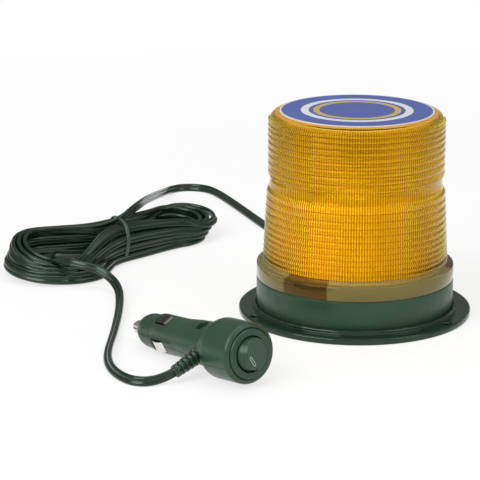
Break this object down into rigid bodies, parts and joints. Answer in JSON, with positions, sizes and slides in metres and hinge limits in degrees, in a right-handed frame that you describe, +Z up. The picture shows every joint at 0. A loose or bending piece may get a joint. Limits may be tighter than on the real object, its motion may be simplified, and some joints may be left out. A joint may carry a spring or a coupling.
{
  "type": "strobe beacon",
  "caption": "Amber ribbed strobe beacon on a round magnetic base, with a tied twin lead and a switched accessory plug.",
  "frame": {"origin": "centre of the underside of the base, on the floor", "axes": "+Z up along the lens axis, +X to the right and +Y away from the camera of the picture"},
  "size_m": [0.2644, 0.3959, 0.1097],
  "materials": {
    "gloss_black": "glossy",
    "satin_black": "satin",
    "amber_lens": "clear amber",
    "label_blue": "printed film",
    "black_rubber": "matt",
    "ferrite": "matt",
    "plated_steel": "plated",
    "nickel": "nickel plate",
    "brass": "bright",
    "board_green": "laminate",
    "sleeve_black": "shrunk sleeve",
    "winding_tape": "tape",
    "aluminium": "plain",
    "terminal_green": "moulded",
    "reflector_white": "white",
    "clear_glass": "clear",
    "cord_black": "satin",
    "tie_olive": "film"
  },
  "bodies": {
    "beacon": {"mounting_flange": "gloss_black", "base_housing": "satin_black", "rubber_pad": "black_rubber", "ring_magnet": "ferrite", "magnet_plate": "plated_steel", "flange_screws": "plated_steel", "lens_seal": "black_rubber", "cable_grommet": "black_rubber", "circuit_board": "board_green", "board_screws": "plated_steel", "storage_capacitors": "sleeve_black", "inverter_transformer": "winding_tape", "trigger_coil": "sleeve_black", "heat_sink": "aluminium", "power_transistor": "satin_black", "terminal_block": "terminal_green", "supply_leads": "cord_black", "reflector": "reflector_white", "reflector_pillars": "reflector_white", "tube_holder": "reflector_white", "flash_tube": "clear_glass", "tube_leads": "brass", "trigger_strip": "nickel", "cord_to_hank": "cord_black", "cord_hank": "cord_black", "cord_to_plug": "cord_black", "hank_tie": "tie_olive", "plug_shell_upper": "satin_black", "plug_shell_lower": "satin_black", "plug_screw": "plated_steel", "strain_relief": "black_rubber", "switch_bezel": "satin_black", "switch_body": "satin_black", "switch_terminals": "brass", "rocker_pin": "plated_steel", "contact_spring": "brass"},
    "lens": {"lens": "amber_lens", "top_label": "label_blue"},
    "rocker": {"rocker": "gloss_black"},
    "nose_cap": {"nose_cap": "satin_black"},
    "tip": {"tip_contact": "nickel", "fuse_glass": "clear_glass", "fuse_caps": "nickel"},
    "top_spring": {"ground_spring_top": "nickel"},
    "front_spring": {"ground_spring_front": "nickel"},
    "rear_spring": {"ground_spring_rear": "nickel"}
  },
  "joints": [
    {"name": "lens_twist", "type": "hinge", "parent": "beacon", "child": "lens", "pos_m": [0, 0, 0.0204], "axis": [0, 0, 1], "range_deg": [0, 18]},
    {"name": "rocker_tilt", "type": "hinge", "parent": "beacon", "child": "rocker", "pos_m": [-0.05015, -0.12716, 0.01684], "axis": [-0.3187, -0.1562, 0.9349], "range_deg": [-32, 0]},
    {"name": "nose_cap_turn", "type": "hinge", "parent": "beacon", "child": "nose_cap", "pos_m": [-0.10022, -0.07077, 0.00919], "axis": [-0.6605, 0.744, -0.1008], "range_deg": [0, 540]},
    {"name": "tip_press", "type": "slide", "parent": "beacon", "child": "tip", "axis": [0.6605, -0.744, 0.1008], "range_m": [0, 0.0025], "stiffness_N_per_m": 500, "springref_m": -0.004, "deforming": ["contact_spring"]},
    {"name": "top_spring_press", "type": "hinge", "parent": "beacon", "child": "top_spring", "pos_m": [-0.09172, -0.08645, 0.01931], "axis": [-0.6428, -0.6298, -0.4361], "range_deg": [0, 6], "stiffness_Nm_per_rad": 0.15, "springref_deg": -2.86},
    {"name": "front_spring_press", "type": "hinge", "parent": "beacon", "child": "front_spring", "pos_m": [-0.09408, -0.09021, 0.007], "axis": [0.388, 0.2233, -0.8942], "range_deg": [0, 6], "stiffness_Nm_per_rad": 0.15, "springref_deg": -2.86},
    {"name": "rear_spring_press", "type": "hinge", "parent": "beacon", "child": "rear_spring", "pos_m": [-0.08219, -0.07856, 0.01507], "axis": [-0.388, -0.2233, 0.8942], "range_deg": [0, 6], "stiffness_Nm_per_rad": 0.15, "springref_deg": -2.86}
  ]
}
